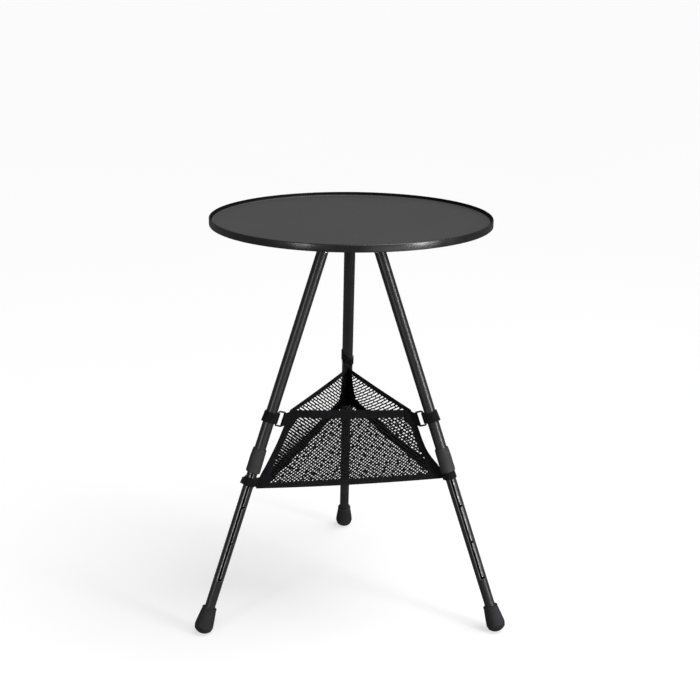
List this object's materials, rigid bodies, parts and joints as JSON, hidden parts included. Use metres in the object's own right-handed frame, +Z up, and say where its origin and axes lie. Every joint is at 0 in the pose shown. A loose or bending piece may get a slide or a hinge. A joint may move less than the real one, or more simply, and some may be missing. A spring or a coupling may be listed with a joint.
{
  "type": "camp kitchen table",
  "caption": "Round rimmed tray table on a folding tripod with telescopic legs that lock in notches, and a mesh bag strung between the legs.",
  "frame": {"origin": "on the floor, at the centre of the box round the spread legs and the tray", "axes": "+Z up; +Y towards the single back leg; the other two legs are at the front left (-X) and the front right (+X)"},
  "size_m": [0.519, 0.527, 0.677],
  "materials": {
    "tray": "black anodised satin sheet",
    "black_tube": "black anodised tube, semi-gloss",
    "hub_plastic": "moulded black nylon",
    "leg_plastic": "moulded black plastic",
    "rubber": "black rubber",
    "steel": "zinc plated steel",
    "black_wire": "black coated wire",
    "webbing": "black woven webbing",
    "mesh": "black open mesh"
  },
  "bodies": {
    "hub": {"hub_body": "hub_plastic", "hinge_pins": "steel", "net_floor": "mesh", "net_wall_front": "mesh", "net_wall_left": "mesh", "net_wall_right": "mesh", "net_tape_front": "webbing", "net_tape_left": "webbing", "net_tape_right": "webbing"},
    "table_top": {"tabletop": "tray", "mounting_plate": "black_tube", "weld_studs": "steel", "stud_nuts": "steel"},
    "knob": {"lock_knob": "hub_plastic", "lock_screw": "steel", "lock_washer": "steel"},
    "upper_leg_back": {"leg_head_back": "leg_plastic", "head_rivet_back": "steel", "upper_tube_back": "black_tube", "collar_back": "leg_plastic", "ring_strap_back": "webbing", "wire_ring_back": "black_wire", "corner_strap_back": "webbing"},
    "leg_slider_back": {"guide_bush_back": "leg_plastic"},
    "lower_leg_back": {"lower_tube_back": "black_tube", "foot_back": "rubber"},
    "upper_leg_left": {"leg_head_left": "leg_plastic", "head_rivet_left": "steel", "upper_tube_left": "black_tube", "collar_left": "leg_plastic", "ring_strap_left": "webbing", "wire_ring_left": "black_wire", "corner_strap_left": "webbing"},
    "leg_slider_left": {"guide_bush_left": "leg_plastic"},
    "lower_leg_left": {"lower_tube_left": "black_tube", "foot_left": "rubber"},
    "upper_leg_right": {"leg_head_right": "leg_plastic", "head_rivet_right": "steel", "upper_tube_right": "black_tube", "collar_right": "leg_plastic", "ring_strap_right": "webbing", "wire_ring_right": "black_wire", "corner_strap_right": "webbing"},
    "leg_slider_right": {"guide_bush_right": "leg_plastic"},
    "lower_leg_right": {"lower_tube_right": "black_tube", "foot_right": "rubber"}
  },
  "joints": [
    {"name": "top_lift", "type": "slide", "parent": "hub", "child": "table_top", "axis": [0, 0, 1], "range_m": [0, 0.04]},
    {"name": "knob_turn", "type": "hinge", "parent": "hub", "child": "knob", "pos_m": [0, -0.03353, 0.63], "axis": [0, 0, 1], "continuous": true},
    {"name": "leg_fold_back", "type": "hinge", "parent": "hub", "child": "upper_leg_back", "pos_m": [0, 0.00887, 0.653], "axis": [-1, 0, 0], "range_deg": [0, 20.46], "deforming": ["net_floor"]},
    {"name": "leg_slide_back", "type": "slide", "parent": "upper_leg_back", "child": "leg_slider_back", "axis": [0, -0.3496, 0.9369], "range_m": [0, 0.192]},
    {"name": "leg_twist_back", "type": "hinge", "parent": "leg_slider_back", "child": "lower_leg_back", "pos_m": [0, 0.18258, 0.18738], "axis": [0, 0.3496, -0.9369], "range_deg": [0, 30]},
    {"name": "leg_fold_left", "type": "hinge", "parent": "hub", "child": "upper_leg_left", "pos_m": [-0.03672, -0.05473, 0.653], "axis": [0.5, -0.866, 0], "range_deg": [0, 20.46], "deforming": ["net_wall_left", "net_tape_left", "net_wall_front", "net_tape_front"]},
    {"name": "leg_slide_left", "type": "slide", "parent": "upper_leg_left", "child": "leg_slider_left", "axis": [0.3027, 0.1748, 0.9369], "range_m": [0, 0.192]},
    {"name": "leg_twist_left", "type": "hinge", "parent": "leg_slider_left", "child": "lower_leg_left", "pos_m": [-0.18716, -0.14159, 0.18738], "axis": [-0.3027, -0.1748, -0.9369], "range_deg": [0, 30]},
    {"name": "leg_fold_right", "type": "hinge", "parent": "hub", "child": "upper_leg_right", "pos_m": [0.03672, -0.05473, 0.653], "axis": [0.5, 0.866, 0], "range_deg": [0, 20.46], "deforming": ["net_wall_right", "net_tape_right"]},
    {"name": "leg_slide_right", "type": "slide", "parent": "upper_leg_right", "child": "leg_slider_right", "axis": [-0.3027, 0.1748, 0.9369], "range_m": [0, 0.192]},
    {"name": "leg_twist_right", "type": "hinge", "parent": "leg_slider_right", "child": "lower_leg_right", "pos_m": [0.18716, -0.14159, 0.18738], "axis": [0.3027, -0.1748, -0.9369], "range_deg": [0, 30]}
  ]
}
